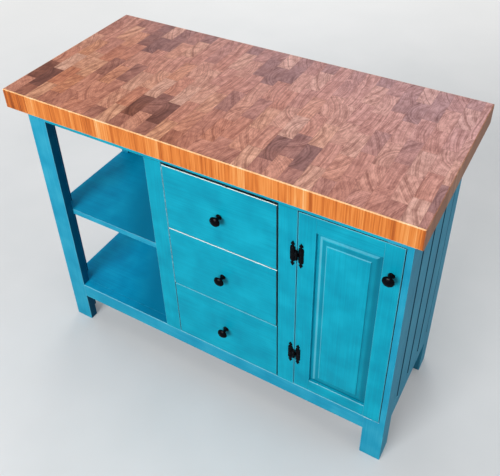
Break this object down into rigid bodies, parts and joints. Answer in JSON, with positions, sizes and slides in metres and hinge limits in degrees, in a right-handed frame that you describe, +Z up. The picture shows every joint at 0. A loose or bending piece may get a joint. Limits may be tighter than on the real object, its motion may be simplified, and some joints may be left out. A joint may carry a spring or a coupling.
{
  "type": "kitchen island unit",
  "caption": "Kitchen island with an end-grain worktop on a painted base: open shelved bay, inset drawers on runners, and a cupboard with a hinged raised-panel door.",
  "frame": {"origin": "on the floor under the middle of the worktop", "axes": "+X along the worktop to the right as seen from the front, +Y from the front to the back, +Z up"},
  "size_m": [1.162, 0.53, 0.914],
  "materials": {
    "end_grain_wood": "oiled end-grain hardwood blocks",
    "painted_wood": "brushed teal paint, rubbed through at the edges",
    "painted_boards": "brushed teal paint on V-jointed boards",
    "painted_panel": "brushed teal paint on shelves and dividers",
    "drawer_wood": "clear-finished pale hardwood",
    "bare_wood": "waxed hardwood",
    "black_iron": "satin black",
    "zinc_steel": "zinc-plated",
    "brown_plastic": "moulded"
  },
  "bodies": {
    "cabinet": {"worktop": "end_grain_wood", "leg_front_left": "painted_wood", "leg_front_right": "painted_wood", "leg_back_left": "painted_wood", "leg_back_right": "painted_wood", "rail_front_top": "painted_wood", "rail_front_bottom": "painted_wood", "rail_back_top": "painted_wood", "rail_back_bottom": "painted_wood", "rail_left_top": "painted_wood", "rail_left_middle": "painted_wood", "rail_left_bottom": "painted_wood", "rail_right_top": "painted_wood", "rail_right_bottom": "painted_wood", "stile_bay": "painted_wood", "stile_door": "painted_wood", "stile_back": "painted_wood", "side_boards": "painted_boards", "back_boards": "painted_boards", "divider_left": "painted_panel", "divider_right": "painted_panel", "floor_panel": "painted_panel", "bay_shelf": "painted_panel", "cupboard_shelf": "painted_panel", "shelf_pins": "zinc_steel", "top_buttons": "bare_wood", "top_button_screws": "zinc_steel", "runners_top": "bare_wood", "runners_middle": "bare_wood", "runners_bottom": "bare_wood", "door_catch": "brown_plastic", "hinge_leaves_frame": "black_iron", "hinge_pins": "black_iron", "hinge_screws_frame": "black_iron"},
    "door": {"door_stile_hinge": "painted_wood", "door_stile_knob": "painted_wood", "door_rail_top": "painted_wood", "door_rail_bottom": "painted_wood", "door_panel": "painted_wood", "door_knob": "black_iron", "hinge_leaves_door": "black_iron", "hinge_screws_door": "black_iron", "catch_strike": "zinc_steel"},
    "drawer_top": {"drawer_top_front": "painted_wood", "drawer_top_sides": "drawer_wood", "drawer_top_back": "drawer_wood", "drawer_top_bottom": "drawer_wood", "drawer_top_knob": "black_iron"},
    "drawer_middle": {"drawer_middle_front": "painted_wood", "drawer_middle_sides": "drawer_wood", "drawer_middle_back": "drawer_wood", "drawer_middle_bottom": "drawer_wood", "drawer_middle_knob": "black_iron"},
    "drawer_bottom": {"drawer_bottom_front": "painted_wood", "drawer_bottom_sides": "drawer_wood", "drawer_bottom_back": "drawer_wood", "drawer_bottom_bottom": "drawer_wood", "drawer_bottom_knob": "black_iron"}
  },
  "joints": [
    {"name": "door_hinge", "type": "hinge", "parent": "cabinet", "child": "door", "pos_m": [0.2825, -0.2283, 0.489], "axis": [0, 0, -1], "range_deg": [0, 95]},
    {"name": "drawer_top_slide", "type": "slide", "parent": "cabinet", "child": "drawer_top", "axis": [0, -1, 0], "range_m": [0, 0.25]},
    {"name": "drawer_middle_slide", "type": "slide", "parent": "cabinet", "child": "drawer_middle", "axis": [0, -1, 0], "range_m": [0, 0.25]},
    {"name": "drawer_bottom_slide", "type": "slide", "parent": "cabinet", "child": "drawer_bottom", "axis": [0, -1, 0], "range_m": [0, 0.25]}
  ]
}
